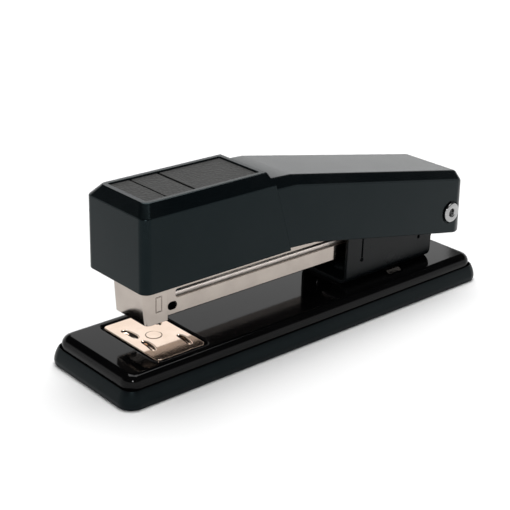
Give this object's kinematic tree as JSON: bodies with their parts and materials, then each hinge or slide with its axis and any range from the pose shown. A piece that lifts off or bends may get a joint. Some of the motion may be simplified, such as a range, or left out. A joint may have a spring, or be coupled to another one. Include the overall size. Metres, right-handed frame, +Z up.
{
  "type": "stapler",
  "caption": "Full-strip desk stapler: long pressed base in a moulded tray, hinged magazine with a spring pusher, and a boxy hinged head over a driver blade.",
  "frame": {"origin": "centre of the footprint, on the surface the stapler stands on", "axes": "+X from the nose towards the tail, +Y across towards the far side when the nose points left, +Z up"},
  "size_m": [0.168, 0.045, 0.0623],
  "materials": {
    "sole": "satin moulded black",
    "base_paint": "gloss black enamel",
    "bracket": "semi-gloss black enamel",
    "head_plastic": "satin moulded black",
    "cap_texture": "fine leather-like grain, dark grey",
    "nickel": "bright nickel plate, slightly warm",
    "rivet_metal": "plated steel",
    "spring_steel": "oiled spring steel"
  },
  "bodies": {
    "base": {"base_sole": "sole", "base_plate": "base_paint", "base_bracket": "bracket", "bracket_rivet_front": "rivet_metal", "bracket_rivet_rear": "rivet_metal", "lift_spring": "spring_steel", "pivot_rivet": "rivet_metal", "pivot_bush_near": "rivet_metal", "pivot_bush_far": "rivet_metal", "anvil_spring": "spring_steel"},
    "anvil": {"anvil_plate": "nickel", "anvil_post": "rivet_metal", "anvil_button": "rivet_metal"},
    "magazine": {"magazine_channel": "nickel", "front_housing": "nickel", "staple_rail": "nickel", "rail_end": "rivet_metal", "spring_rod": "rivet_metal", "pusher_spring": "spring_steel"},
    "pusher": {"pusher": "head_plastic"},
    "head": {"head_cap": "head_plastic", "cap_panel_front": "cap_texture", "cap_panel_label": "cap_texture", "cap_panel_rear": "cap_texture", "rear_cover": "head_plastic", "head_arm": "bracket", "driver_blade": "spring_steel", "driver_clamp": "rivet_metal", "head_spring": "spring_steel", "cap_screw_front": "rivet_metal", "cap_screw_rear": "rivet_metal"}
  },
  "joints": [
    {"name": "anvil_lift", "type": "slide", "parent": "base", "child": "anvil", "axis": [0, 0, 1], "range_m": [0, 0.0016], "stiffness_N_per_m": 200, "springref_m": -0.003, "deforming": ["anvil_spring"]},
    {"name": "magazine_hinge", "type": "hinge", "parent": "base", "child": "magazine", "pos_m": [0.0712, 0, 0.0286], "axis": [0, 1, 0], "range_deg": [-2.9, 85], "stiffness_Nm_per_rad": 2, "springref_deg": 2.54, "deforming": ["lift_spring"]},
    {"name": "head_hinge", "type": "hinge", "parent": "magazine", "child": "head", "pos_m": [0.0712, 0, 0.0286], "axis": [0, 1, 0], "range_deg": [-3.6, 80], "stiffness_Nm_per_rad": 1.5, "springref_deg": 1.75, "deforming": ["head_spring"]},
    {"name": "pusher_slide", "type": "slide", "parent": "magazine", "child": "pusher", "axis": [1, 0, 0], "range_m": [0, 0.095], "stiffness_N_per_m": 15, "springref_m": -0.04, "deforming": ["pusher_spring"]}
  ]
}
